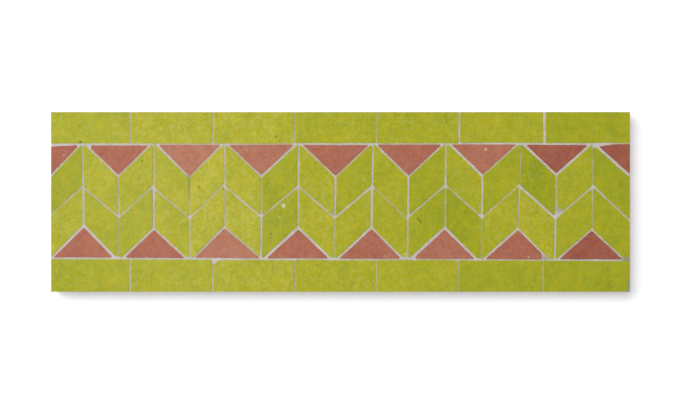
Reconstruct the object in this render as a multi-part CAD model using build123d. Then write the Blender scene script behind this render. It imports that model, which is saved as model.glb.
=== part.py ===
from build123d import *
import os
from itertools import accumulate

# Zellige border panel: hand-cut glazed terracotta pieces set face up in one bed of pale mortar.
# A band of leaves, laid as chevrons in two courses, fills the middle. Triangles close the zigzag above and
# below it, and a course of bars runs along each long edge. Every piece was chiselled from a glazed tile, so
# its sides slope in towards the back, and the mortar fills the wedge-shaped joints and covers the backs.
# Millimetres. The origin is the centre of the panel's back, +X runs along the panel, +Y across it and
# +Z out of the glazed face.

# Thickness of the panel, from its back to its face
BED_THICKNESS = 7.0
TILE_THICKNESS = 11.0
JOINT_RECESS = 0.5

# Cutting and setting of the pieces
JOINT = 0.9
TRIANGLE_TRIM = 0.2
UNDERCUT = 1.2

# Heights across the panel
BAR_COURSE = 20.2
LEAF_SHORT_SIDE = 25.5
LEAF_LONG_SIDE = 27.7
CHEVRON_RISE = 19.2
TIP_CUT = 1.4

# Length along the panel, and how far each hand-cut leaf departs from it, left to right
LEAF_WIDTH = 22.6
LEAF_EXCESS = (-2.5, -0.6, -0.6, -0.3, -0.6, 0.2, 0.4, 0.4, 0.4, 0.0, 0.7, 0.2, 0.6, 0.3, 0.2, 0.9)

# The bars of a course share out the panel's length, and each joint was set this far right of its even place
TOP_JOINT_SHIFTS = (-2.1, -2.2, -2.7, -3.6, -3.2, -1.8)
BOTTOM_JOINT_SHIFTS = (-2.2, -2.4, -2.8, -3.6, -3.7, -2.5)

# How the upright joints were set by hand, one value for each from the left end to the right end:
# how far each leans to the right on its way down, and how far the chevron's corner and the triangle's
# tip on it lie above their lines
LEANS = (0.0, 0.6, 0.4, 0.2, 0.4, 0.2, -0.5, -0.5, -1.1, -1.6, -0.6, -0.3, -1.2, -2.4, -1.2, -0.6, 0.0)
CHEVRON_LIFTS = (1.1, -0.6, 0.4, -0.4, 0.1, 0.0, 0.1, 0.2, -0.4, 0.2, 0.1, 0.8, -0.1, 0.2, -0.6, -0.4, -0.6)
TIP_LIFTS = (0.2, 1.5, 0.1, -0.6, -0.7, 0.6, -0.1, -0.1, -0.4, 0.1, -0.4, 0.1, -0.7, -0.4, 0.9, -1.0, 1.8)

# How far the band's straight edges lie above their lines at the left end and at the right end
UPPER_EDGE_LIFTS = (0.1, 0.6)
LOWER_EDGE_LIFTS = (0.6, -0.6)

# Sizes that follow from those
LEAF_WIDTHS = [LEAF_WIDTH + excess for excess in LEAF_EXCESS]
COLUMNS = len(LEAF_WIDTHS)
PANEL_LENGTH = sum(LEAF_WIDTHS)
BAND_WIDTH = 2 * (LEAF_LONG_SIDE - TIP_CUT) + CHEVRON_RISE
PANEL_WIDTH = BAND_WIDTH + 2 * BAR_COURSE
TILE_BACK = BED_THICKNESS
TILE_FACE = TILE_BACK + TILE_THICKNESS
JOINT_FACE = TILE_FACE - JOINT_RECESS
SAW_ALLOWANCE = 2 * (UNDERCUT + JOINT)  # how far the end pieces reached before the panel was sawn to size
UPRIGHTS = [x - PANEL_LENGTH / 2 for x in accumulate(LEAF_WIDTHS, initial=0)]


def is_valley(upright):
    """The zigzag lines run down to a valley on every other upright joint, from the first one on."""
    return upright % 2 == 0


def on_upright(upright, y):
    """The point at height y on an upright joint, which leans a little."""
    return UPRIGHTS[upright] - LEANS[upright] * y / BAND_WIDTH, y


def middle_corner(upright):
    """Where the middle zigzag, between the two courses of leaves, meets an upright joint."""
    side = -1 if is_valley(upright) else 1
    return on_upright(upright, side * CHEVRON_RISE / 2 + CHEVRON_LIFTS[upright])


def upper_corner(upright):
    """Where the upper zigzag meets an upright joint: at a triangle's tip, or just above the band."""
    if is_valley(upright):
        return on_upright(upright, LEAF_SHORT_SIDE - CHEVRON_RISE / 2 + TIP_LIFTS[upright])
    return on_upright(upright, LEAF_LONG_SIDE + CHEVRON_RISE / 2)


def lower_corner(upright):
    """Where the lower zigzag meets an upright joint: at a triangle's tip, or just below the band."""
    if is_valley(upright):
        return on_upright(upright, -LEAF_LONG_SIDE - CHEVRON_RISE / 2)
    return on_upright(upright, CHEVRON_RISE / 2 - LEAF_SHORT_SIDE + TIP_LIFTS[upright])


def beyond(outer, inner):
    """The point past outer, on the line from inner through it, at the saw allowance."""
    reach = SAW_ALLOWANCE / abs(outer[0] - inner[0])
    return tuple(o + (o - i) * reach for o, i in zip(outer, inner))


def edge(corner, column):
    """A zigzag's two corners on either side of a column of leaves, carried past the panel's sawn ends."""
    left, right = corner(column), corner(column + 1)
    if column == 0:
        left = beyond(left, right)
    if column == COLUMNS - 1:
        right = beyond(right, left)
    return left, right


def mirrored(point, upright):
    """The point as far to the other side of an upright joint."""
    return 2 * UPRIGHTS[upright] - point[0], point[1]


def panel_block(height):
    """A block with the sawn panel's outline, from its back up to a height."""
    return Box(PANEL_LENGTH, PANEL_WIDTH, height, align=(Align.CENTER, Align.CENTER, Align.MIN))


def level_edge(y, lifts):
    """The band's straight edge near height y as its left and right ends, past the panel's sawn ends."""
    left, right = ((side * PANEL_LENGTH / 2, y + lift) for side, lift in zip((-1, 1), lifts))
    return beyond(left, right), beyond(right, left)


def cell(*corners):
    """A flat cell between joint centre lines."""
    return make_face(Polyline(*corners, close=True))


PANEL = panel_block(TILE_FACE)
UPPER_EDGE = level_edge(BAND_WIDTH / 2, UPPER_EDGE_LIFTS)
LOWER_EDGE = level_edge(-BAND_WIDTH / 2, LOWER_EDGE_LIFTS)
BAND = cell(*UPPER_EDGE, *reversed(LOWER_EDGE))


def chiselled(block, side, middle):
    """The block with the side under one edge of its face cut back, sloping in towards the back."""
    along = (side @ 1 - side @ 0).normalized()
    outward = along.cross(Vector(0, 0, 1))
    if outward.dot(middle - side @ 0.5) > 0:
        outward = -outward
    slope = Plane(side @ 0.5, x_dir=along, z_dir=outward * TILE_THICKNESS - Vector(0, 0, UNDERCUT))
    return split(block, bisect_by=slope, keep=Keep.BOTTOM)


def piece(flat_cell, trim=0.0):
    """The tile for one cell: half a joint smaller all round, undercut, and sawn off at the panel's edges."""
    face = Pos(Z=TILE_FACE) * offset(flat_cell, -JOINT / 2 - trim, kind=Kind.INTERSECTION)
    tile = extrude(face, -TILE_THICKNESS)
    for side in face.edges():
        tile = chiselled(tile, side, face.center())
    return (tile & PANEL).solid()


def band_cell(*corners):
    """A cell of the zigzag band, with what reaches past the band's straight edges cut off."""
    return (cell(*corners) & BAND).face()


def upper_leaf(column):
    return piece(band_cell(*edge(upper_corner, column), *reversed(edge(middle_corner, column))))


def lower_leaf(column):
    return piece(band_cell(*edge(middle_corner, column), *reversed(edge(lower_corner, column))))


def triangle(corner, upright):
    """The triangle whose tip lies on an upright joint. At a sawn end it is half of a whole one."""
    tip = corner(upright)
    left = corner(upright - 1) if upright > 0 else mirrored(corner(1), upright)
    right = corner(upright + 1) if upright < COLUMNS else mirrored(corner(COLUMNS - 1), upright)
    return piece(band_cell(left, tip, right), TRIANGLE_TRIM)


def along_edge(line, x):
    """The point of one of the band's straight edges at x."""
    (left, y_left), (right, y_right) = line
    return x, y_left + (y_right - y_left) * (x - left) / (right - left)


def bar(inner_edge, outer_y, left, right):
    """One bar between two upright joints, from the band's straight edge out past the panel's sawn edge."""
    inner_corners = along_edge(inner_edge, left), along_edge(inner_edge, right)
    return piece(cell(*inner_corners, (right, outer_y), (left, outer_y)))


def bars(joint_shifts, inner_edge, outer_y):
    """A course of bars, from the left end to the right end."""
    pitch = PANEL_LENGTH / (len(joint_shifts) + 1)
    joints = [number * pitch + shift - PANEL_LENGTH / 2 for number, shift in enumerate(joint_shifts, 1)]
    ends = [inner_edge[0][0], *joints, inner_edge[1][0]]
    return [bar(inner_edge, outer_y, left, right) for left, right in zip(ends, ends[1:])]


def tile_nodes():
    """Every node of tiles by name, as a list of its solids."""
    nodes = {}
    outside = PANEL_WIDTH / 2 + SAW_ALLOWANCE
    for number, tile in enumerate(bars(TOP_JOINT_SHIFTS, UPPER_EDGE, outside), 1):
        nodes[f"top_bar_{number}"] = [tile]
    for number, tile in enumerate(bars(BOTTOM_JOINT_SHIFTS, LOWER_EDGE, -outside), 1):
        nodes[f"bottom_bar_{number}"] = [tile]
    # A chevron is the pair of leaves on either side of its triangle's tip, and at a sawn end one leaf
    for number, upright in enumerate(range(0, COLUMNS + 1, 2), 1):
        columns = [c for c in (upright - 1, upright) if 0 <= c < COLUMNS]
        nodes[f"upper_triangle_{number}"] = [triangle(upper_corner, upright)]
        nodes[f"upper_chevron_{number}"] = [upper_leaf(c) for c in columns]
    for number, upright in enumerate(range(1, COLUMNS + 1, 2), 1):
        columns = [c for c in (upright - 1, upright) if 0 <= c < COLUMNS]
        nodes[f"lower_triangle_{number}"] = [triangle(lower_corner, upright)]
        nodes[f"lower_chevron_{number}"] = [lower_leaf(c) for c in columns]
    return nodes


def mortar_bed(tiles):
    """The mortar behind the tiles and in their joints, cast round them in one piece."""
    return (panel_block(JOINT_FACE) - tiles).solid()


def main():
    os.makedirs("parts", exist_ok=True)
    nodes = tile_nodes()
    nodes["mortar_bed"] = [mortar_bed([tile for solids in nodes.values() for tile in solids])]
    for name, solids in nodes.items():
        shape = solids[0] if len(solids) == 1 else Compound(children=solids)
        shape.label = name
        export_step(shape, f"parts/{name}.step")


main()
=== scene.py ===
import math
import random

import bpy
import numpy as np
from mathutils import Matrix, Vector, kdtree, noise
from mathutils.geometry import delaunay_2d_cdt


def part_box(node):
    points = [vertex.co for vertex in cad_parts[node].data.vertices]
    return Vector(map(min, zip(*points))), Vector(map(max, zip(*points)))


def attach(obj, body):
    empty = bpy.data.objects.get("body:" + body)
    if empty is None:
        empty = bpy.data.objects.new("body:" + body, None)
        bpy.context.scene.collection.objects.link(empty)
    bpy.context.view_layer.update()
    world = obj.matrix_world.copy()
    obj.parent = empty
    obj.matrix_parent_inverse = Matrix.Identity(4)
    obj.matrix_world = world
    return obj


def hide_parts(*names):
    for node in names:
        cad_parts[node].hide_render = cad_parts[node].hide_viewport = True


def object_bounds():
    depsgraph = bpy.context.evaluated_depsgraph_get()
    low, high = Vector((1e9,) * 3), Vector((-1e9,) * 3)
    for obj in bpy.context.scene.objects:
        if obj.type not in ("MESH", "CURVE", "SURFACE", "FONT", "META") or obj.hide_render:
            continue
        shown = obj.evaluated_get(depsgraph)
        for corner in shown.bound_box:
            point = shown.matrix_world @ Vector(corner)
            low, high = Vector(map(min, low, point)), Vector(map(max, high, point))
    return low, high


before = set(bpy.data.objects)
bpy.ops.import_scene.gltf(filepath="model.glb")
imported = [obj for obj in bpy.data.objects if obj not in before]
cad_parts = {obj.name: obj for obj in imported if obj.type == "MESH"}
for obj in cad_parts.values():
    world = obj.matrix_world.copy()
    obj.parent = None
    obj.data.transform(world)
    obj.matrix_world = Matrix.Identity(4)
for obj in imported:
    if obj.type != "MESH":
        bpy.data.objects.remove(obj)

# Lengths are in millimetres until a mesh is made
MM = 0.001
CAD_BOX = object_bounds()
HALF_LENGTH, HALF_WIDTH, TILE_FACE = np.array(CAD_BOX[1]) / MM
TILE_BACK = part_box("top_bar_1")[0].z / MM
TILES = [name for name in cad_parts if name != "mortar_bed"]

# What still counts as lying on a line or at a height, and what keeps divisions off zero
TOUCHING = 0.02
TINY = 1e-12

# How a tile's outline was nibbled out with a chisel
OUTLINE_STEP = 0.55
WANDER = 0.15               # slow drift of a side from straight
WANDER_SIZE = 8.0
RIPPLE = 0.08               # short ripples along it
RIPPLE_SIZE = 1.9
SLACK = 0.1                 # how far each end of a side is out of its line
SPARE = 9.0                 # how far round a tile the stock reaches that it is cut from
CHIP_SPACING = 20.0         # one small chip for this much outline
CHIP_RADIUS = (0.6, 1.5)
CHIP_DEPTH = (0.12, 0.35)
SMOOTHINGS = 2              # how often the chips' and corners' edges are rounded
SHARP_CORNER = 62.0         # a corner with a smaller angle than this, in degrees, is broken off a little
BLUNTING = (0.2, 1.1)       # how far in from its point it breaks
TIP_WIDTH = 5.0             # a shorter side than this is a leaf's tip
TIP_NIBBLE = (0.0, 0.8)     # how far back that was nibbled
LEVEL_SLOPE = 0.1           # a side with less slope than this is level
UPRIGHT_LEAN = 0.15         # a side that leans less than this is upright

# The sides of a tile, from its face down to its back
SIDE_LEVELS = (0.03, 0.07, 0.15, 0.25, 0.35, 0.45, 0.55, 0.65, 0.75, 0.85, 0.93, 1.0)
UNDERCUT_SHARE = 0.95       # how much of the solid's undercut the side has
GLAZE_LINE = TILE_FACE - 0.62    # below it a cut side shows bare clay
SAWN_RELIEF = 0.3           # how far the clay of a sawn side is broken away
SAWN_RELIEF_DEPTH = 1.5     # how far below the glaze line it gets to that
CLAY_BREAKS = ((3.1, 0.6), (1.1, 0.5))    # size and strength of the waves it is broken in
CLAY_BREAK_BIAS = 0.25
SHARP_EDGE = math.radians(38)    # edges that turn by more than this aren't smoothed

# Seeds: each tile has its own, and each kind of random detail starts from its own number above that
FIRST_SEED = 0.37
SEEDS_PER_NODE = 10
MARK_SEEDS, TILT_SEEDS, SETTING_SEEDS, BLUNTING_SEEDS = 1000, 2000, 3000, 4000
FINER_WAVE = 0.5            # added for the finer of two waves of noise

# How the joints were set: steps wider than usual, for each joint of a row from the left end to the right end
JOINT_STEP = 0.1
JOINT_STEPS = {
    "upper_upright": (0, 0, -1, 1, -1, 0, -2, 1, 3, 1, 2, 0, 2, -3, 0, -4, 0),
    "lower_upright": (0, 2, -4, 4, 0, -1, 3, 0, -2, 4, 0, -1, -4, -1, 1, -3, 0),
    "zigzag": (-1, 0, 2, 0, 1, 1, 1, 1, 2, -2, 0, -1, -2, 5, 0, 2),
    "upper_slope": (-1, 0, -1, 0, -2, -1, 4, -2, -2, -1, -2, 2, -3, 2, 3, 5),
    "lower_slope": (5, 4, 1, 1, 0, -2, 8, 2, 4, -1, 5, 3, 1, -1, 1, -2),
    "top_bar": (0, 0, -1, -1, -3, 1, 6, 0),
    "bottom_bar": (0, 1, 0, -1, -1, -2, -2, 0),
    "upper_level": (1, -2, -3, 0, -2, -2, 3, -2),
    "lower_level": (0, 0, 1, 0, -3, -3, -4, -1),
}

# Joints that run off their usual lines: the row, the number in it, and how far above the line
# the joint's left end and its right end lie
CROOKED_JOINTS = {
    ("zigzag", 0): (0.5, 1.0),
    ("zigzag", 2): (-0.5, 1.0),
    ("zigzag", 3): (-0.5, -1.0),
    ("zigzag", 4): (-0.5, 1.5),
    ("zigzag", 9): (0.0, -1.5),
    ("zigzag", 12): (-0.5, 1.0),
    ("zigzag", 15): (1.0, -1.5),
    ("upper_slope", 11): (1.0, 1.0),
    ("upper_slope", 12): (1.0, 0.5),
    ("upper_slope", 15): (-0.5, -1.5),
    ("lower_slope", 0): (2.0, -0.5),
    ("lower_slope", 5): (-0.5, 2.0),
    ("lower_slope", 9): (0.0, -1.0),
    ("lower_slope", 11): (-0.5, -1.0),
    ("lower_slope", 13): (-0.5, -2.0),
    ("lower_slope", 15): (-0.5, -2.0),
}

# The glazed face of a tile
FACE_STEP = 0.75
RIM_GAP = 0.4 * FACE_STEP   # how far the face's points keep from its rim
MERGE_GAP = 1e-6            # points closer than this are joined
KEEP_INSIDE = 1             # the way of joining points up that keeps only what lies inside the outline
SETTING_DEPTH = 0.16        # mean depth of a face below the highest one
SWELL = 0.09
SWELL_SIZE = 15.0
DIMPLE = 0.025
DIMPLE_SIZE = 3.5
TILT = 0.1                  # how far a tile's corners are out of level
TILT_REACH = 12.0           # how far from its middle they are taken to be
RIM_FALL = 0.03
RIM_REACH = 0.35

# Marks of the glaze: small random pits and pale specks, and the larger marks that are listed further on
PIT_AREA = 90.0             # one pit for this much glaze
SPECK_AREA = 160.0          # one speck for this much glaze
SMALL_RADIUS = (0.2, 0.42)
SMALL_STRENGTH = (0.1, 0.4)
SMALL_DEPTH = 0.1
SPECK_SHARE = 0.6           # how bare a speck is for its strength
DARK_DEPTH = 0.22
BARE_DEPTH = 0.16
MARK_MARGIN = 0.3           # how far a mark's middle keeps from the rim
HOLLOW_REACH = 1.5          # where the hollow of a mark ends, in radii
HOLLOW_FLOOR = 1.25         # above 1, the hollow has a flat floor
RINGS = ((1.0, 8), (1.55, 10))    # rings of points round a mark: how many radii out, and how many points
RING_WOBBLE = 0.12
CLEAR_REACH = 1.6           # how many radii of a mark the face's other points keep clear
CLEAR_GAP = 0.35 * FACE_STEP    # and how much more

# Mortar in the joints and round the panel's sides
MORTAR_STEP = 0.55
JOINT_DEPTH = 0.42
MORTAR_GRIT = 0.07
GRIT_WAVES = ((7.0, 3), (1.0, 5))    # size and seed of each
WIDE_JOINT = 1.3            # from this width down to the next one, a joint holds more and more glaze dust
TIGHT_JOINT = 0.6
NEIGHBOURS = 14             # how many points of the tiles' rims are searched for a joint's two sides
FACE_REACH = 1.5            # how far down the mortar counts as lying at the panel's face
STAIN_AND_SHADE_END = 1.4             # where a stain or a patch of painted shade ends, in radii
SIDE_RELIEF = 0.35
SIDE_ROWS = 14
SIDE_BREAKS = ((2.5, 1.0), (0.9, 0.4))    # size and strength of the waves the sides are broken in
SIDE_BREAK_BIAS = 0.1
OVERCUT = 1.0               # how far a tile's pocket reaches past a sawn side
LID = 2.0                   # and above the panel's face

# Firing tone of each leaf, bar and triangle, left to right: below zero darker, above it paler; on the lime
# glaze a paler tone also gets more painted sheen.
# Along the panel the colour is painted deeper to the right and paler to the left, a painted light gradient as
# from light falling from the left.
PAINTED_LIGHT_DRIFT = 0.25
TONES_AND_SHEEN = {
    "upper_chevron": (-1, 0.2, 0.2, 0.3, 1, 0.6, -0.5, 0.3, -0.3, 0, -0.5, 0, -0.4, -1.4, 0, -0.5),
    "lower_chevron": (0, -0.2, -0.4, 0.2, 0.7, 1, -0.6, 0.5, 0.1, 0, -0.5, -0.8, 0.2, 0.5, -0.2, -0.5),
    "top_bar": (0, 0.6, 0.8, 0, 0, 0, -0.5),
    "bottom_bar": (-0.4, 0.1, 0.5, 0.1, 0.1, -0.4, -0.5),
    "upper_triangle": (-0.5, 0, 1, 0.5, 0, 0, 0.5, -1.3, -1.3),
    "lower_triangle": (0, 0, 1, 0, 0, 0.5, 0, -1.2),
}

# Corners that were cut off: node, number of its tile, and two points of the cut, with the tile on its left
CUT_CORNERS = (
    ("upper_chevron_8", 1, (135.1, -2.6), (138.2, -5.2)),
    ("upper_chevron_9", 0, (163.0, 33.2), (157.0, 33.9)),
    ("upper_triangle_1", 0, (-164.0, 35.4), (-180.7, 34.5)),
    ("upper_triangle_9", 0, (168.0, 35.6), (161.5, 34.6)),
    ("upper_triangle_2", 0, (-155.6, 36.0), (-155.6, 33.0)),
    ("lower_triangle_6", 0, (47.0, -32.0), (47.0, -36.0)),
    ("lower_triangle_7", 0, (125.5, -36.0), (125.5, -32.0)),
    ("lower_chevron_1", 1, (-141.0, -34.2), (-138.0, -34.0)),
    ("lower_chevron_5", 1, (40.0, -34.4), (42.0, -33.6)),
    ("lower_chevron_8", 1, (174.5, -35.2), (180.7, -34.3)),
    ("bottom_bar_3", 0, (-75.8, -36.6), (-78.6, -38.6)),
    ("bottom_bar_7", 0, (178.6, -56.1), (180.7, -45.6)),
)

# Marks on the faces: x, y, radius and strength. A bare mark shows the pale clay,
# and a dark one is a pit in the glaze.
BARE_MARKS = (
    (-35.6, -2.3, 0.95, 1.0), (-38.0, -9.7, 0.45, 0.6), (72.0, 31.2, 0.7, 0.7), (90.5, 32.7, 0.8, 0.55),
    (40.4, -32.5, 0.7, 0.5), (117.3, -34.3, 0.5, 0.5), (116.3, -36.2, 0.6, 0.5), (14.9, 13.9, 0.5, 0.45),
    (39.6, 50.5, 0.5, 0.16), (43.5, 50.1, 0.5, 0.16), (59.3, 49.5, 0.5, 0.16), (100.1, -41.0, 0.5, 0.16),
    (102.0, 13.0, 0.5, 0.28), (-58.7, 32.1, 0.5, 0.3), (-172.7, 29.3, 0.5, 0.3), (-171.5, 31.6, 0.4, 0.25),
    (-173.9, 14.7, 0.5, 0.22), (-169.6, 10.9, 0.4, 0.2), (-137.0, 45.0, 0.5, 0.2), (-133.4, 42.6, 0.5, 0.2),
    (-43.1, 13.1, 0.5, 0.22), (-6.1, 46.8, 0.5, 0.2),
)
DARK_MARKS = (
    (-162.2, 37.1, 0.8, 0.8), (-40.0, 40.4, 0.6, 0.5), (-88.0, 9.2, 0.7, 0.6), (-43.1, -20.0, 0.6, 0.6),
    (7.4, -50.9, 0.5, 0.75), (48.3, -10.4, 0.5, 0.65), (49.2, -11.2, 0.5, 0.7), (49.9, -12.2, 0.5, 0.75),
    (50.2, -13.2, 0.4, 0.7), (-45.6, 11.2, 0.5, 0.5), (-123.7, 25.3, 0.5, 0.5), (-156.1, 25.3, 0.4, 0.4),
    (9.9, -12.2, 0.5, 0.4), (-172.2, -8.9, 0.5, 0.4), (-62.7, 6.3, 0.5, 0.4), (-60.6, 23.6, 0.5, 0.4),
    (-14.2, -39.7, 0.5, 0.35),
)

# Stained and dusty mortar, and painted shade along one hollow joint: x, y, radius and strength
MORTAR_STAINS_AND_SHADE = (
    (179.0, -36.4, 4.0, 1.0), (179.8, -52.0, 9.0, 1.0), (136.6, -4.4, 2.8, 0.6), (127.8, -35.2, 2.2, 0.7),
    # These three are painted shade: the shadow in a joint where the grout lies deep.
    (-94.3, 13.5, 3.2, 1.0), (-94.3, 9.0, 3.2, 1.0), (-94.2, 4.5, 3.2, 1.0),
)

# What the materials share
GLAZE_BLUR = 0.05           # how far above and below its line the glaze turns to clay
GLAZE_BUMP = 0.04
GLAZE_SPECULAR = 0.25
USUAL_NOISE = (0.25, 0.75)  # where most values of a noise texture lie


def outlines(node, height):
    """The outlines of a node's flat faces at a height, each anticlockwise seen from above, left to right."""
    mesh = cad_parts[node].data
    edges = set()
    for polygon in mesh.polygons:
        corners = [mesh.vertices[index].co / MM for index in polygon.vertices]
        if any(abs(corner.z - height) > TOUCHING for corner in corners):
            continue
        flat = [(round(corner.x, 3), round(corner.y, 3)) for corner in corners]
        for edge in zip(flat, flat[1:] + flat[:1]):
            if edge[::-1] in edges:
                edges.remove(edge[::-1])
            else:
                edges.add(edge)
    following = dict(sorted(edges))
    loops = []
    while following:
        loop = [min(following)]
        while loop[-1] in following:
            loop.append(following.pop(loop[-1]))
        loops.append(np.array(loop[:-1]))
    anticlockwise = [loop if area(loop) > 0 else loop[::-1] for loop in loops]
    return sorted(anticlockwise, key=lambda loop: loop[:, 0].mean())


def area(loop):
    """The signed area inside a closed outline."""
    x, y = loop.T
    return 0.5 * float(np.sum(x * np.roll(y, -1) - np.roll(x, -1) * y))


def sides_of(loop):
    """The sides of a closed outline, each as its two ends."""
    return list(zip(loop, np.roll(loop, -1, axis=0)))


def unit(direction):
    """A direction with length one."""
    return direction / np.linalg.norm(direction)


def left_of(direction):
    """The unit direction a quarter turn anticlockwise from a direction."""
    return unit(np.array([-direction[1], direction[0]]))


def sawn_normal(a, b):
    """Which way a side faces out of the panel if it lies on the panel's sawn edge, or else zero."""
    middle = (a + b) / 2
    along_end = abs(a[0] - b[0]) < TOUCHING and abs(abs(middle[0]) - HALF_LENGTH) < TOUCHING
    along_edge = abs(a[1] - b[1]) < TOUCHING and abs(abs(middle[1]) - HALF_WIDTH) < TOUCHING
    return np.array([np.sign(middle[0]) * along_end, np.sign(middle[1]) * along_edge])


def cut_off(loop, start, end):
    """The outline without what lies to the right of the line from start to end."""
    along = np.subtract(end, start)
    heights = (loop - start) @ (-along[1], along[0])
    kept = []
    for (here, there), height, next_height in zip(sides_of(loop), heights, np.roll(heights, -1)):
        if height >= 0:
            kept.append(here)
        if (height >= 0) != (next_height >= 0):
            kept.append(here + (there - here) * height / (height - next_height))
    return np.array(kept)


def shifted(loop, moves):
    """The outline with every side moved in, by one amount at its start and another at its end."""
    left, low = loop.min(axis=0) - SPARE
    right, high = loop.max(axis=0) + SPARE
    found = np.array([(left, low), (right, low), (right, high), (left, high)])
    for (a, b), (near, far) in zip(sides_of(loop), moves):
        inward = left_of(b - a)
        found = cut_off(found, a + inward * near, b + inward * far)
    return found


def joint_of(course, column, a, b, centre):
    """Which joint one side of a tile lies on: the name of its row, and its number in the row."""
    row, kind = course.split("_")
    row = {"top": "upper", "bottom": "lower"}.get(row, row)
    run, rise = np.abs(b - a)
    middle = (a + b) / 2
    is_right, is_above = middle > centre
    if rise < LEVEL_SLOPE * run:
        level = f"{row}_level"
        return level, int((middle[0] / HALF_LENGTH + 1) / 2 * len(JOINT_STEPS[level]))
    if kind == "bar":
        return course, column + is_right
    if kind == "triangle":
        return f"{row}_slope", 2 * column - (row == "upper") + is_right
    if run < UPRIGHT_LEAN * rise:
        return f"{row}_upright", column + is_right
    if is_above == (row == "upper"):
        return f"{row}_slope", column
    return "zigzag", column


def as_set(loop, course, column, seed):
    """The outline with its sides moved to where the tile was cut and set. Sawn sides stay."""
    rng = random.Random(seed + SETTING_SEEDS)
    centre = loop.mean(axis=0)
    moves = []
    for a, b in sides_of(loop):
        if sawn_normal(a, b).any():
            moves.append((0, 0))
            continue
        joint = joint_of(course, column, a, b, centre)
        row, number = joint
        usual = JOINT_STEP * JOINT_STEPS[row][number] / 2
        if np.linalg.norm(b - a) < TIP_WIDTH:
            usual += rng.uniform(*TIP_NIBBLE)
        left, right = CROOKED_JOINTS.get(joint, (0, 0))
        lifts = (left, right) if a[0] < b[0] else (right, left)
        upward = left_of(b - a)[1]
        moves.append([usual + lift * upward + rng.uniform(-SLACK, SLACK) for lift in lifts])
    return shifted(loop, moves)


def blunted(loop, seed):
    """The outline with the points of its sharp corners broken off. Corners on a sawn side stay."""
    rng = random.Random(seed + BLUNTING_SEEDS)
    found = loop
    for before, corner, after in zip(np.roll(loop, 1, axis=0), loop, np.roll(loop, -1, axis=0)):
        back, ahead = unit(before - corner), unit(after - corner)
        is_sawn = (sawn_normal(before, corner) + sawn_normal(corner, after)).any()
        if back @ ahead < math.cos(math.radians(SHARP_CORNER)) or is_sawn:
            continue
        inward = unit(back + ahead)
        start = corner + inward * rng.uniform(*BLUNTING)
        found = cut_off(found, start, start + (inward[1], -inward[0]))
    return found


def sampled(loop):
    """Close points along an outline, with the inward direction at each point and its way out of the panel
    where it is sawn."""
    points, inward, outward = [], [], []
    sides = sides_of(loop)
    before = sides[-1]
    for a, b in sides:
        count = max(2, round(np.linalg.norm(b - a) / OUTLINE_STEP))
        ahead, back = sawn_normal(a, b), sawn_normal(*before)
        for step in range(count):
            normal = left_of(b - a)
            out = ahead
            if step == 0:
                normal = unit(normal + left_of(before[1] - before[0]))
                out = ahead + back
            points.append(a + (b - a) * step / count)
            inward.append(normal)
            outward.append(out)
        before = (a, b)
    return np.array(points), np.array(inward), np.array(outward)


def bitten(points, inward, centre, radius):
    """The outline with every point inside a circle moved inward until it is out of the circle."""
    offset = points - centre
    slope = np.sum(offset * inward, axis=1)
    inside = np.sum(offset**2, axis=1) - radius**2
    move = np.where(inside < 0, np.sqrt(np.maximum(slope**2 - inside, 0)) - slope, 0)
    return points + inward * move[:, None]


def flat_noise(x, y, size, seed):
    """Noise at a point of the panel's face, with features of a size."""
    return noise.noise((x / size, y / size, seed))


def two_waves(points, seed, broad, fine):
    """A broad and a fine wave of noise at each point, both given as a height and a size."""
    (height, size), (fine_height, fine_size) = broad, fine
    return np.array([
        height * flat_noise(x, y, size, seed) + fine_height * flat_noise(x, y, fine_size, seed + FINER_WAVE)
        for x, y in points
    ])


def broken_away(points, waves, bias):
    """How deep a rough side is broken away at each point, in waves that are each a size and a strength."""
    depths = [sum(strength * noise.noise(point / size) for size, strength in waves) for point in points]
    return np.array([max(0, depth + bias) for depth in depths])


def hand_cut(loop, seed):
    """The outline as cut by hand: wandering, rippled, chipped, its corners a little rounded."""
    rng = random.Random(seed)
    points, inward, outward = sampled(loop)
    free = ~outward.any(axis=1)
    drift = two_waves(points, seed, (WANDER, WANDER_SIZE), (RIPPLE, RIPPLE_SIZE))
    points = points + inward * (drift * free)[:, None]
    for _ in range(round(len(points) * OUTLINE_STEP / CHIP_SPACING)):
        at = rng.randrange(len(points))
        radius = rng.uniform(*CHIP_RADIUS)
        depth = rng.uniform(*CHIP_DEPTH)
        if free[at]:
            nibbled = bitten(points, inward, points[at] - inward[at] * (radius - depth), radius)
            points = np.where(free[:, None], nibbled, points)
    for _ in range(SMOOTHINGS):
        middle = (np.roll(points, 1, axis=0) + np.roll(points, -1, axis=0)) / 2
        points = np.where(free[:, None], (points + middle) / 2, points)
    return np.clip(points, (-HALF_LENGTH, -HALF_WIDTH), (HALF_LENGTH, HALF_WIDTH)), outward


def nearest_on(loop, points):
    """The nearest point of a closed outline to each point, and how far away it is."""
    a = loop[None, :, :]
    side = (np.roll(loop, -1, axis=0) - loop)[None, :, :]
    along = np.sum((points[:, None, :] - a) * side, axis=2) / np.maximum(np.sum(side**2, axis=2), TINY)
    feet = a + side * np.clip(along, 0, 1)[:, :, None]
    gaps = np.linalg.norm(points[:, None, :] - feet, axis=2)
    best = gaps.argmin(axis=1)
    rows = np.arange(len(points))
    return feet[rows, best], gaps[rows, best]


def is_inside(loop, points):
    """Which of the points lie inside a closed outline."""
    x, y = points[:, 0:1], points[:, 1:2]
    ax, ay = loop.T
    bx, by = np.roll(loop, -1, axis=0).T
    crosses = (ay > y) != (by > y)
    rise = np.where(by == ay, TINY, by - ay)
    return (crosses & (x < ax + (y - ay) / rise * (bx - ax))).sum(axis=1) % 2 == 1


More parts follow.
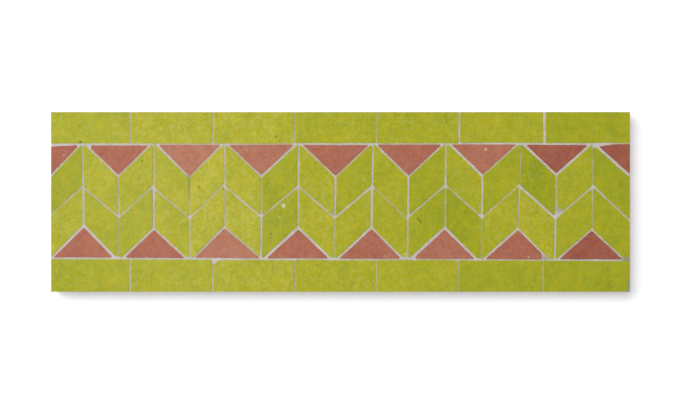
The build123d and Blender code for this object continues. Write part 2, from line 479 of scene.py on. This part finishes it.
def marks_on(loop, seed):
    """The marks of one tile: x, y, radius, depth, and how dark and how bare it is."""
    rng = random.Random(seed + MARK_SEEDS)
    marks = []
    low, high = loop.min(axis=0), loop.max(axis=0)
    for spacing, is_dark in ((PIT_AREA, True), (SPECK_AREA, False)):
        for _ in range(round((high - low).prod() / spacing)):
            x, y = rng.uniform(low[0], high[0]), rng.uniform(low[1], high[1])
            radius, strength = rng.uniform(*SMALL_RADIUS), rng.uniform(*SMALL_STRENGTH)
            dark, bare = (strength, 0.0) if is_dark else (0.0, SPECK_SHARE * strength)
            marks.append((x, y, radius, SMALL_DEPTH, dark, bare))
    marks += [(x, y, radius, DARK_DEPTH, strength, 0.0) for x, y, radius, strength in DARK_MARKS]
    marks += [(x, y, radius, BARE_DEPTH, 0.0, strength) for x, y, radius, strength in BARE_MARKS]
    centres = np.array([mark[:2] for mark in marks])
    clear = is_inside(loop, centres) & (nearest_on(loop, centres)[1] > MARK_MARGIN)
    return [mark for mark, kept in zip(marks, clear) if kept]


def ring(x, y, radius, count):
    """Points round a mark's centre, not quite on a circle."""
    turns = np.arange(count) * 2 * math.pi / count
    reach = radius * (1 + RING_WOBBLE * np.sin(turns * 2 + x) + RING_WOBBLE * np.sin(turns * 3 + y))
    return np.column_stack([x + reach * np.cos(turns), y + reach * np.sin(turns)])


def face_points(loop, marks):
    """Points spread over a tile's face inside its outline, closer together at its marks."""
    low, high = loop.min(axis=0), loop.max(axis=0)
    rows = np.arange(low[1], high[1], FACE_STEP * math.sqrt(3) / 2)
    columns = np.arange(low[0], high[0], FACE_STEP)
    grid = np.array([(x + FACE_STEP / 2 * (row % 2), y) for row, y in enumerate(rows) for x in columns])
    for x, y, radius, *_ in marks:
        away = np.hypot(grid[:, 0] - x, grid[:, 1] - y)
        grid = grid[away > radius * CLEAR_REACH + CLEAR_GAP]
    rings = [np.array([[x, y]]) for x, y, *_ in marks]
    for reach, count in RINGS:
        rings += [ring(x, y, radius * reach, count) for x, y, radius, *_ in marks]
    points = np.concatenate([grid, *rings])
    points = points[is_inside(loop, points)]
    return points[nearest_on(loop, points)[1] > RIM_GAP]


def face_heights(points, rim_gap, marks, seed):
    """The height of a tile's face at each point, with how dark and how bare the glaze is there."""
    rng = random.Random(seed + TILT_SEEDS)
    tilt = np.array([rng.uniform(-TILT, TILT), rng.uniform(-TILT, TILT)]) / TILT_REACH
    heights = two_waves(points, seed, (SWELL, SWELL_SIZE), (DIMPLE, DIMPLE_SIZE))
    heights += TILE_FACE - SETTING_DEPTH + np.clip((points - points.mean(axis=0)) @ tilt, -TILT, TILT)
    heights -= RIM_FALL * np.exp(-((rim_gap / RIM_REACH) ** 2))
    dark, bare = np.zeros(len(points)), np.zeros(len(points))
    for x, y, radius, depth, darkness, bareness in marks:
        reach = np.hypot(points[:, 0] - x, points[:, 1] - y) / (radius * HOLLOW_REACH)
        inside = np.clip(HOLLOW_FLOOR * (1 - reach**2), 0, 1)
        heights -= depth * inside
        dark = np.maximum(dark, darkness * inside)
        bare = np.maximum(bare, bareness * inside)
    return np.minimum(heights, TILE_FACE), dark, bare


class Tile:
    """One hand-cut tile: its outline from face to back, and its face with marks."""

    def __init__(self, face_loop, back_loop, seed, tone_and_painted_light):
        self.seed, self.tone_and_painted_light = seed, tone_and_painted_light
        self.outline, self.outward = hand_cut(face_loop, seed)
        self.free = ~self.outward.any(axis=1)
        foot = nearest_on(back_loop, self.outline)[0]
        over_back = is_inside(back_loop, self.outline) & self.free
        self.back = np.where(over_back[:, None], self.outline, foot)
        self.make_face()

    def make_face(self):
        """Spreads points over the face, joins them up and gives them their heights."""
        marks = marks_on(self.outline, self.seed)
        inner = face_points(self.outline, marks)
        points = np.concatenate([self.outline, inner])
        cut_rim = self.outline[self.free]
        gap = np.linalg.norm(points[:, None, :] - cut_rim[None, :, :], axis=2).min(axis=1)
        rim = list(range(len(self.outline)))
        found = delaunay_2d_cdt([tuple(point) for point in points], [], [rim], KEEP_INSIDE, MERGE_GAP)
        self.triangles = [tuple(face) for face in found[2]]
        heights, self.dark, self.bare = face_heights(points, gap, marks, self.seed)
        self.face = np.column_stack([points, heights])

    def rings(self):
        """The tile's outline at each level below its face, down to its back."""
        top = self.face[: len(self.outline), 2]
        for level in SIDE_LEVELS:
            flat = self.outline + (self.back - self.outline) * level * UNDERCUT_SHARE
            yield np.column_stack([flat, top + (TILE_BACK - top) * level])

    def broken(self, level):
        """A ring of the tile with the clay of its sawn sides broken away a little below the glaze."""
        growth = np.clip((GLAZE_LINE - level[:, 2]) / SAWN_RELIEF_DEPTH, 0, 1)
        rough = broken_away(level, CLAY_BREAKS, CLAY_BREAK_BIAS)
        outward = np.column_stack([self.outward, np.zeros(len(level))])
        return level - outward * (SAWN_RELIEF * growth * rough)[:, None]

    def add_to(self, shape):
        """Adds the tile to a shape, as a closed mesh."""
        face = shape.add_points(self.face, self.seed, self.tone_and_painted_light, self.dark, self.bare)
        shape.faces += [tuple(face[index] for index in triangle) for triangle in self.triangles]
        upper = face[: len(self.outline)]
        for level in self.rings():
            lower = shape.add_points(self.broken(level), self.seed, self.tone_and_painted_light)
            shape.add_band(upper, lower)
            upper = lower
        shape.faces.append(tuple(reversed(upper)))

    def add_cutter_to(self, shape):
        """Adds the room that the tile takes up in the mortar, reaching past the panel's sawn sides."""
        count = len(self.outline)
        past = np.column_stack([self.outward * OVERCUT, np.zeros(count)])
        rim = self.face[:count]
        lid = rim * (1, 1, 0) + (0, 0, TILE_FACE + LID)
        *_, foot = self.rings()
        upper, middle, lower = (shape.add_points(level + past, 0, 0) for level in (lid, rim, foot))
        shape.faces.append(tuple(upper))
        shape.add_band(upper, middle)
        shape.add_band(middle, lower)
        shape.faces.append(tuple(reversed(lower)))


def give_values(mesh, key, numbers):
    """Gives each point of a mesh a number that its material can read."""
    mesh.attributes.new(key, "FLOAT", "POINT").data.foreach_set("value", numbers)


def smooth(mesh):
    """Shades a mesh smooth, apart from its sharp edges."""
    mesh.shade_smooth()
    mesh.set_sharp_from_angle(angle=SHARP_EDGE)


class Shape:
    """Points and faces of a mesh in the making, with what its material reads at each point."""

    def __init__(self):
        self.points, self.faces = [], []
        self.values = {"tile_seed": [], "tone_and_painted_light": [], "dark": [], "bare": []}

    def add_points(self, points, seed, tone_and_painted_light, dark=None, bare=None):
        """Adds points with their values, and gives the run of their numbers in the mesh."""
        start, count = len(self.points), len(points)
        self.points += [tuple(point * MM) for point in points]
        self.values["tile_seed"] += [seed] * count
        self.values["tone_and_painted_light"] += [tone_and_painted_light] * count
        self.values["dark"] += [0.0] * count if dark is None else list(dark)
        self.values["bare"] += [0.0] * count if bare is None else list(bare)
        return range(start, start + count)

    def add_band(self, upper, lower):
        """Faces between two closed rings of points, facing out of rings that run anticlockwise."""
        for here in range(len(upper)):
            there = (here + 1) % len(upper)
            self.faces.append((upper[there], upper[here], lower[here], lower[there]))

    def to_object(self, name):
        """The finished mesh as an object of the scene."""
        mesh = bpy.data.meshes.new(name)
        mesh.from_pydata(self.points, [], self.faces)
        for key, numbers in self.values.items():
            give_values(mesh, key, numbers)
        smooth(mesh)
        piece = bpy.data.objects.new(name, mesh)
        bpy.context.scene.collection.objects.link(piece)
        return piece


def column_of(course, number, place):
    """Where a node's tile stands in its course, counted from the left end."""
    if course == "upper_chevron":
        return max(0, 2 * (number - 1) - 1) + place
    if course == "lower_chevron":
        return 2 * (number - 1) + place
    return number - 1


def tiles_of(node):
    """The hand-cut tiles of a node, left to right."""
    course, number = node.rsplit("_", 1)
    found = []
    for place, face_loop in enumerate(outlines(node, TILE_FACE)):
        middle = face_loop[:, 0].mean()
        back_loop = min(outlines(node, TILE_BACK), key=lambda loop: abs(loop[:, 0].mean() - middle))
        column = column_of(course, int(number), place)
        # Firing tone, plus a painted light gradient: paler towards the left end, deeper towards the right.
        tone_and_painted_light = TONES_AND_SHEEN[course][column] - PAINTED_LIGHT_DRIFT * middle / HALF_LENGTH
        seed = SEEDS_PER_NODE * TILES.index(node) + place + FIRST_SEED
        face_loop = blunted(as_set(face_loop, course, column, seed), seed)
        for cut_node, cut_place, start, end in CUT_CORNERS:
            if (cut_node, cut_place) == (node, place):
                face_loop = cut_off(face_loop, start, end)
        found.append(Tile(face_loop, back_loop, seed, tone_and_painted_light))
    return found


def grit(x, y):
    """How far the grit of the mortar's top rises at a point."""
    return MORTAR_GRIT * sum(flat_noise(x, y, size, seed) for size, seed in GRIT_WAVES)


def mortar_block():
    """The block of mortar before the tiles were pressed into it, with a gritty top and rough sides."""
    shape = Shape()
    columns = np.linspace(-HALF_LENGTH, HALF_LENGTH, round(2 * HALF_LENGTH / MORTAR_STEP) + 1)
    rows = np.linspace(-HALF_WIDTH, HALF_WIDTH, round(2 * HALF_WIDTH / MORTAR_STEP) + 1)
    top = [(x, y, TILE_FACE - JOINT_DEPTH + grit(x, y)) for x in columns for y in rows]
    shape.add_points(np.array(top), 0, 0)
    across, along = len(rows), len(columns)
    for i in range(along - 1):
        for j in range(across - 1):
            corner = i * across + j
            shape.faces.append((corner, corner + across, corner + across + 1, corner + 1))
    upper = [i * across for i in range(along)]
    upper += [(along - 1) * across + j for j in range(1, across)]
    upper += [i * across + across - 1 for i in range(along - 2, -1, -1)]
    upper += range(across - 2, 0, -1)
    edge = np.array([top[index] for index in upper])
    for row in range(1, SIDE_ROWS + 1):
        level = edge * (1, 1, 1 - row / SIDE_ROWS)
        relief = SIDE_RELIEF * broken_away(level, SIDE_BREAKS, SIDE_BREAK_BIAS)
        level[:, :2] -= np.sign(level[:, :2]) * side_mask(edge) * relief[:, None]
        lower = shape.add_points(level, 0, 0)
        shape.add_band(upper, lower)
        upper = lower
    shape.faces.append(tuple(reversed(upper)))
    return shape.to_object("mortar")


def side_mask(points):
    """Along which axes each point lies on the panel's side."""
    return np.abs(np.abs(points[:, :2]) - (HALF_LENGTH, HALF_WIDTH)) < TOUCHING


def pressed_into(block, tiles):
    """The block with room for every tile taken out of it."""
    shape = Shape()
    for tile in tiles:
        tile.add_cutter_to(shape)
    cutter = shape.to_object("cutter")
    modifier = block.modifiers.new("pockets", "BOOLEAN")
    modifier.operation = "DIFFERENCE"
    modifier.solver = "MANIFOLD"
    modifier.object = cutter
    graph = bpy.context.evaluated_depsgraph_get()
    mesh = bpy.data.meshes.new_from_object(block.evaluated_get(graph))
    block.modifiers.clear()
    block.data = mesh
    bpy.data.objects.remove(cutter)
    smooth(mesh)
    points = np.empty(3 * len(mesh.vertices))
    mesh.vertices.foreach_get("co", points)
    points = points.reshape(-1, 3) / MM
    give_values(mesh, "stain_and_shade", stains_and_shade_at(points))
    give_values(mesh, "narrow", narrowness(points, tiles))
    return block


def near_face(points):
    """Which points of the mortar lie at the panel's face."""
    return points[:, 2] > TILE_FACE - FACE_REACH


def stains_and_shade_at(points):
    """How far the mortar is stained, or darkened with painted shade, at each point."""
    stain_and_shade = np.zeros(len(points))
    for x, y, radius, strength in MORTAR_STAINS_AND_SHADE:
        reach = np.hypot(points[:, 0] - x, points[:, 1] - y) / radius
        stain_and_shade = np.maximum(stain_and_shade, strength * np.clip(STAIN_AND_SHADE_END - reach, 0, 1))
    return stain_and_shade * near_face(points)


def narrowness(points, tiles):
    """How narrow the joint is at each point of the mortar's face, from 0 where it is wide to 1."""
    owners = [number for number, tile in enumerate(tiles) for _ in tile.outline]
    tree = kdtree.KDTree(len(owners))
    for index, (x, y) in enumerate(np.concatenate([tile.outline for tile in tiles])):
        tree.insert((x, y, 0), index)
    tree.balance()
    narrow = np.zeros(len(points))
    for row in np.flatnonzero(near_face(points)):
        found = tree.find_n((points[row, 0], points[row, 1], 0), NEIGHBOURS)
        nearest = owners[found[0][1]]
        across = [gap for _, index, gap in found if owners[index] != nearest]
        if across:
            width = found[0][2] + across[0]
            narrow[row] = np.clip((WIDE_JOINT - width) / (WIDE_JOINT - TIGHT_JOINT), 0, 1)
    return narrow


def colour(red, green, blue):
    """A colour given as 0 to 255 on screen, in the linear values that sockets take."""
    def linear(value):
        value /= 255
        return value / 12.92 if value <= 0.04045 else ((value + 0.055) / 1.055) ** 2.4
    return linear(red), linear(green), linear(blue), 1.0


class Shader:
    """A material's nodes, with short ways to add them."""

    def __init__(self, name):
        self.material = bpy.data.materials.new(name)
        self.material.use_nodes = True
        self.tree = self.material.node_tree
        self.tree.nodes.clear()
        self.place = self.add("ShaderNodeTexCoord").outputs["Object"]

    def add(self, kind, inputs=None, **settings):
        """A new node with its settings, and its inputs fed with values or with other nodes' outputs."""
        node = self.tree.nodes.new(kind)
        for key, value in settings.items():
            setattr(node, key, value)
        for key, value in (inputs or {}).items():
            self.feed(node.inputs[key], value)
        return node

    def feed(self, socket, value):
        """Links a socket to a node's output, or sets it to a value."""
        if isinstance(value, bpy.types.NodeSocket):
            self.tree.links.new(value, socket)
        else:
            socket.default_value = value

    def attribute(self, name):
        """A number that the mesh holds at each point."""
        return self.add("ShaderNodeAttribute", attribute_name=name).outputs["Fac"]

    def noise(self, size, seed=0.0, stretch=None, detail=2.0, roughness=0.5):
        """Noise with features of a size in millimetres, about -1 to 1."""
        place = self.place
        if stretch:
            place = self.add("ShaderNodeVectorMath", {0: place, 1: stretch}, operation="MULTIPLY").outputs[0]
        node = self.add(
            "ShaderNodeTexNoise",
            {"Vector": place, "W": seed, "Scale": 1 / (size * MM), "Detail": detail, "Roughness": roughness},
            noise_dimensions="4D",
        )
        return self.ranged(node.outputs["Fac"], *USUAL_NOISE, -1, 1)

    def ranged(self, value, low, high, to_low=0.0, to_high=1.0):
        """A value moved from one range to another, and kept inside it."""
        inputs = {"Value": value, "From Min": low, "From Max": high, "To Min": to_low, "To Max": to_high}
        return self.add("ShaderNodeMapRange", inputs).outputs["Result"]

    def total(self, *terms):
        """The sum of values, each times its share."""
        result = 0.0
        for value, share in terms:
            inputs = {0: value, 1: share, 2: result}
            result = self.add("ShaderNodeMath", inputs, operation="MULTIPLY_ADD").outputs[0]
        return result

    def ramp(self, value, *stops):
        """A colour that runs through stops, each given as a value and its colour."""
        node = self.add("ShaderNodeValToRGB", {"Fac": value})
        elements = node.color_ramp.elements
        elements[0].position, elements[0].color = stops[0]
        elements[1].position, elements[1].color = stops[-1]
        for position, stop in stops[1:-1]:
            elements.new(position).color = stop
        return node.outputs["Color"]

    def mix(self, factor, a, b):
        """A colour between a, where the factor is 0, and b, where it is 1."""
        node = self.add("ShaderNodeMix", data_type="RGBA")
        self.feed(node.inputs[0], factor)
        self.feed(node.inputs[6], a)
        self.feed(node.inputs[7], b)
        return node.outputs[2]

    def tinted(self, base, tint, share, warm, cool):
        """A colour that drifts to a warm one where the tint is above zero, and to a cool one below it."""
        base = self.mix(self.ranged(tint, 0, 1, 0, share), base, warm)
        return self.mix(self.ranged(tint, 0, -1, 0, share), base, cool)

    def height(self):
        """How far a point lies above the panel's back, in metres."""
        return self.add("ShaderNodeSeparateXYZ", {0: self.place}).outputs["Z"]

    def bump(self, value, depth):
        """A normal from a height, whose full range is a depth in millimetres."""
        inputs = {"Height": value, "Distance": depth * MM, "Strength": 1.0}
        return self.add("ShaderNodeBump", inputs).outputs[0]

    def finish(self, **inputs):
        """The material, whose surface has these inputs, named like its sockets."""
        names = {key.replace("_", " ").title().replace("Ior", "IOR"): value for key, value in inputs.items()}
        surface = self.add("ShaderNodeBsdfPrincipled", names)
        self.add("ShaderNodeOutputMaterial", {"Surface": surface.outputs[0]})
        return self.material


def with_clay(shader, glaze, dark):
    """The glaze with its pits and bare spots, and the bare clay of the sides below it."""
    body = shader.mix(shader.attribute("dark"), glaze, dark)
    body = shader.mix(shader.attribute("bare"), body, colour(222, 214, 196))
    seed = shader.attribute("tile_seed")
    grain = shader.noise(0.7, seed, detail=3)
    clay = shader.ramp(
        shader.total((grain, 0.3), (shader.noise(7, seed), 0.3), (shader.noise(60, seed), 0.25), (1.0, 0.5)),
        (0.0, colour(168, 122, 96)), (0.5, colour(196, 152, 124)), (1.0, colour(214, 178, 150)),
    )
    height = shader.total((shader.height(), 1 / MM), (shader.noise(1.4), 0.08))
    glazed = shader.ranged(height, GLAZE_LINE - GLAZE_BLUR, GLAZE_LINE + GLAZE_BLUR)
    return shader.mix(glazed, clay, body), glazed


def lime_glaze():
    """A glossy lime glaze: clouds and mottle of the firing, a warm and cool drift, and a pale painted sheen
    that stands in for a reflection.
    """
    shader = Shader("lime_glaze")
    seed, tone_and_painted_light = shader.attribute("tile_seed"), shader.attribute("tone_and_painted_light")
    cloud = shader.noise(15, seed, detail=3)
    patch = shader.noise(4.5, seed, detail=3)
    mottle = shader.noise(1.3, seed)
    streak = shader.noise(1.2, seed, stretch=(1, 0.12, 1))
    # The tone carries the painted light gradient along the panel as well as the firing tone.
    level = shader.total(
        (tone_and_painted_light, 0.16), (cloud, 0.14), (patch, 0.16), (mottle, 0.18), (streak, 0.07), (1.0, 0.5)
    )
    glaze = shader.ramp(
        level,
        (0.0, colour(126, 143, 5)), (0.35, colour(154, 159, 8)),
        (0.65, colour(174, 170, 14)), (1.0, colour(202, 192, 52)),
    )
    tint = shader.noise(1.9, seed, detail=4, roughness=0.6)
    glaze = shader.tinted(glaze, tint, 0.42, colour(188, 166, 6), colour(148, 173, 76))
    # Painted sheen: a pale patchy lift of the glaze, stronger on paler tiles and towards the left end,
    # standing in for the reflection of the room.
    sheen_patches = shader.ranged(shader.noise(1.7, seed, detail=3), -0.15, 0.9, 0, 0.7)
    painted_sheen = shader.total((sheen_patches, shader.ranged(tone_and_painted_light, -0.8, 0.8)))
    glaze = shader.mix(painted_sheen, glaze, colour(190, 190, 96))
    body, glazed = with_clay(shader, glaze, colour(70, 92, 6))
    gloss = shader.total((glazed, -0.62), (mottle, 0.03), (shader.attribute("bare"), 0.5), (1.0, 0.78))
    bump = shader.bump(shader.total((patch, 0.6), (mottle, 0.4)), GLAZE_BUMP)
    return shader.finish(base_color=body, roughness=gloss, normal=bump, specular_ior_level=GLAZE_SPECULAR)


def pink_glaze():
    """A satin terracotta-pink glaze."""
    shader = Shader("terracotta_glaze")
    seed, tone_and_painted_light = shader.attribute("tile_seed"), shader.attribute("tone_and_painted_light")
    cloud = shader.noise(9, seed, detail=3)
    mottle = shader.noise(1.1, seed)
    fine = shader.noise(2.8, seed, detail=3)
    # The tone carries the painted light gradient along the panel as well as the firing tone.
    level = shader.total((tone_and_painted_light, 0.2), (cloud, 0.12), (fine, 0.14), (mottle, 0.14), (1.0, 0.5))
    glaze = shader.ramp(
        level,
        (0.0, colour(137, 69, 51)), (0.5, colour(168, 102, 79)), (1.0, colour(191, 138, 112)),
    )
    tint = shader.noise(1.9, seed, detail=4, roughness=0.6)
    glaze = shader.tinted(glaze, tint, 0.7, colour(183, 98, 62), colour(157, 103, 104))
    body, glazed = with_clay(shader, glaze, colour(96, 52, 44))
    gloss = shader.total((glazed, -0.56), (mottle, 0.04), (shader.attribute("bare"), 0.4), (1.0, 0.86))
    bump = shader.bump(shader.total((fine, 0.6), (mottle, 0.4)), GLAZE_BUMP)
    return shader.finish(base_color=body, roughness=gloss, normal=bump, specular_ior_level=GLAZE_SPECULAR)


def pale_mortar():
    """A matt sandy mortar, dusty with glaze in narrow joints, with stains and a painted shade in one hollow
    joint.
    """
    shader = Shader("mortar")
    sand = shader.noise(0.5, detail=3)
    cloud = shader.noise(11, detail=3)
    spot = shader.noise(2.2, 4.0, detail=3)
    level = shader.total((sand, 0.2), (cloud, 0.16), (spot, 0.16), (1.0, 0.55))
    pale = shader.ramp(
        level,
        (0.0, colour(162, 155, 150)), (0.5, colour(202, 196, 191)), (1.0, colour(226, 221, 217)),
    )
    dusty = shader.mix(shader.attribute("narrow"), pale, colour(180, 176, 138))
    # Stains, and in one hollow joint painted shade, darken the mortar towards this colour.
    stained_and_shaded = shader.mix(shader.attribute("stain_and_shade"), dusty, colour(152, 156, 132))
    bump = shader.bump(shader.total((sand, 0.6), (spot, 0.4)), 0.25)
    return shader.finish(base_color=stained_and_shaded, roughness=0.92, normal=bump, specular_ior_level=0.2)


def settle(piece, node, slot, materials):
    """Puts a piece in its CAD node's place, with its finish."""
    piece.data.materials.clear()
    piece.data.materials.append(materials[slot])
    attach(piece, "root")
    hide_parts(node)


def make_panel():
    """Every tile and the mortar bed, in place of their CAD nodes."""
    materials = {"lime_glaze": lime_glaze(), "terracotta": pink_glaze(), "mortar": pale_mortar()}
    every_tile = []
    for node in TILES:
        shape = Shape()
        for tile in tiles_of(node):
            tile.add_to(shape)
            every_tile.append(tile)
        slot = "terracotta" if "triangle" in node else "lime_glaze"
        settle(shape.to_object(f"{node}_tile"), node, slot, materials)
    settle(pressed_into(mortar_block(), every_tile), "mortar_bed", "mortar", materials)


# Stage: a white floor, a soft white room, a broad far key light high on the upper left, a fill light on the
# left, and over the left half a softbox, the only lamp that the glaze mirrors. Floor and lamps are in metres.
FLOOR_HALF = 4.0
FLOOR_COLOUR = (0.955, 0.965, 0.98, 1)
ROOM_LEVEL = 0.28
SHADOW_LIFT = 0.21
KEY = {"kind": "SUN", "place": (-0.29, 0.27, 1.0), "size": math.radians(30), "power": 1.82}
FILL = {"kind": "AREA", "place": (-0.75, 0.25, 0.8), "size": 0.8, "power": 3.3}
SOFTBOX = {"kind": "AREA", "place": (-0.265, 0.0, 1.5), "size": 0.3, "power": 0.35}
LENS = 100.0
SENSOR = 36.0
MM_PER_PIXEL = 0.624
IMAGE_WIDTH = 680
VIEW_CENTRE = (-0.31, 1.19)    # the point of the panel that the picture is centred on


def seen_directly(tree):
    """One for what the camera sees straight or in a reflection or through glass, and zero for light."""
    path = tree.nodes.new("ShaderNodeLightPath").outputs
    seen = path["Is Camera Ray"]
    for other in ("Is Glossy Ray", "Is Transmission Ray"):
        add = tree.nodes.new("ShaderNodeMath")
        add.operation = "MAXIMUM"
        tree.links.new(seen, add.inputs[0])
        tree.links.new(path[other], add.inputs[1])
        seen = add.outputs[0]
    return seen


def make_room():
    """White all round where it is seen, and a weaker light where it only lights."""
    world = bpy.data.worlds.new("room")
    world.use_nodes = True
    tree = world.node_tree
    tree.nodes.clear()
    light, white = (tree.nodes.new("ShaderNodeBackground") for _ in range(2))
    light.inputs["Strength"].default_value = ROOM_LEVEL
    white.inputs["Strength"].default_value = 1.0
    for background in (light, white):
        background.inputs["Color"].default_value = (1, 1, 1, 1)
    mix = tree.nodes.new("ShaderNodeMixShader")
    tree.links.new(seen_directly(tree), mix.inputs[0])
    tree.links.new(light.outputs[0], mix.inputs[1])
    tree.links.new(white.outputs[0], mix.inputs[2])
    tree.links.new(mix.outputs[0], tree.nodes.new("ShaderNodeOutputWorld").inputs[0])
    bpy.context.scene.world = world


def make_floor():
    """A pale floor that keeps the shadow, lifted a little towards white."""
    mesh = bpy.data.meshes.new("floor")
    corners = [(x * FLOOR_HALF, y * FLOOR_HALF, 0.0) for x, y in ((-1, -1), (1, -1), (1, 1), (-1, 1))]
    mesh.from_pydata(corners, [], [(0, 1, 2, 3)])
    floor = bpy.data.objects.new("floor", mesh)
    bpy.context.scene.collection.objects.link(floor)
    material = bpy.data.materials.new("floor")
    material.use_nodes = True
    tree = material.node_tree
    tree.nodes.clear()
    matt = tree.nodes.new("ShaderNodeBsdfDiffuse")
    matt.inputs["Color"].default_value = FLOOR_COLOUR
    white = tree.nodes.new("ShaderNodeEmission")
    share = tree.nodes.new("ShaderNodeMath")
    share.operation = "MULTIPLY"
    share.inputs[1].default_value = SHADOW_LIFT
    tree.links.new(seen_directly(tree), share.inputs[0])
    tree.links.new(share.outputs[0], white.inputs["Strength"])
    add = tree.nodes.new("ShaderNodeAddShader")
    tree.links.new(matt.outputs[0], add.inputs[0])
    tree.links.new(white.outputs[0], add.inputs[1])
    tree.links.new(add.outputs[0], tree.nodes.new("ShaderNodeOutputMaterial").inputs[0])
    mesh.materials.append(material)


def make_lamp(name, kind, place, size, power, is_mirrored=False):
    """A lamp aimed at the middle of the panel: a square one, or a far one whose size is an angle."""
    data = bpy.data.lights.new(name, kind)
    setattr(data, "angle" if kind == "SUN" else "size", size)
    data.energy = power
    lamp = bpy.data.objects.new(name, data)
    lamp.location = place
    lamp.visible_glossy = is_mirrored
    lamp.rotation_euler = lamp.location.to_track_quat("Z", "Y").to_euler()
    bpy.context.scene.collection.objects.link(lamp)


def make_camera():
    """A long lens straight above the panel, with +Y up in the picture."""
    data = bpy.data.cameras.new("camera")
    data.lens = LENS
    data.sensor_width = SENSOR
    camera = bpy.data.objects.new("camera", data)
    distance = IMAGE_WIDTH * MM_PER_PIXEL * LENS / SENSOR
    camera.location = (VIEW_CENTRE[0] * MM, VIEW_CENTRE[1] * MM, (TILE_FACE + distance) * MM)
    bpy.context.scene.collection.objects.link(camera)
    bpy.context.scene.camera = camera


make_panel()
make_room()
make_floor()
make_lamp("key", **KEY)
make_lamp("fill", **FILL)
make_lamp("softbox", **SOFTBOX, is_mirrored=True)
make_camera()
bpy.context.scene.view_settings.view_transform = "Standard"
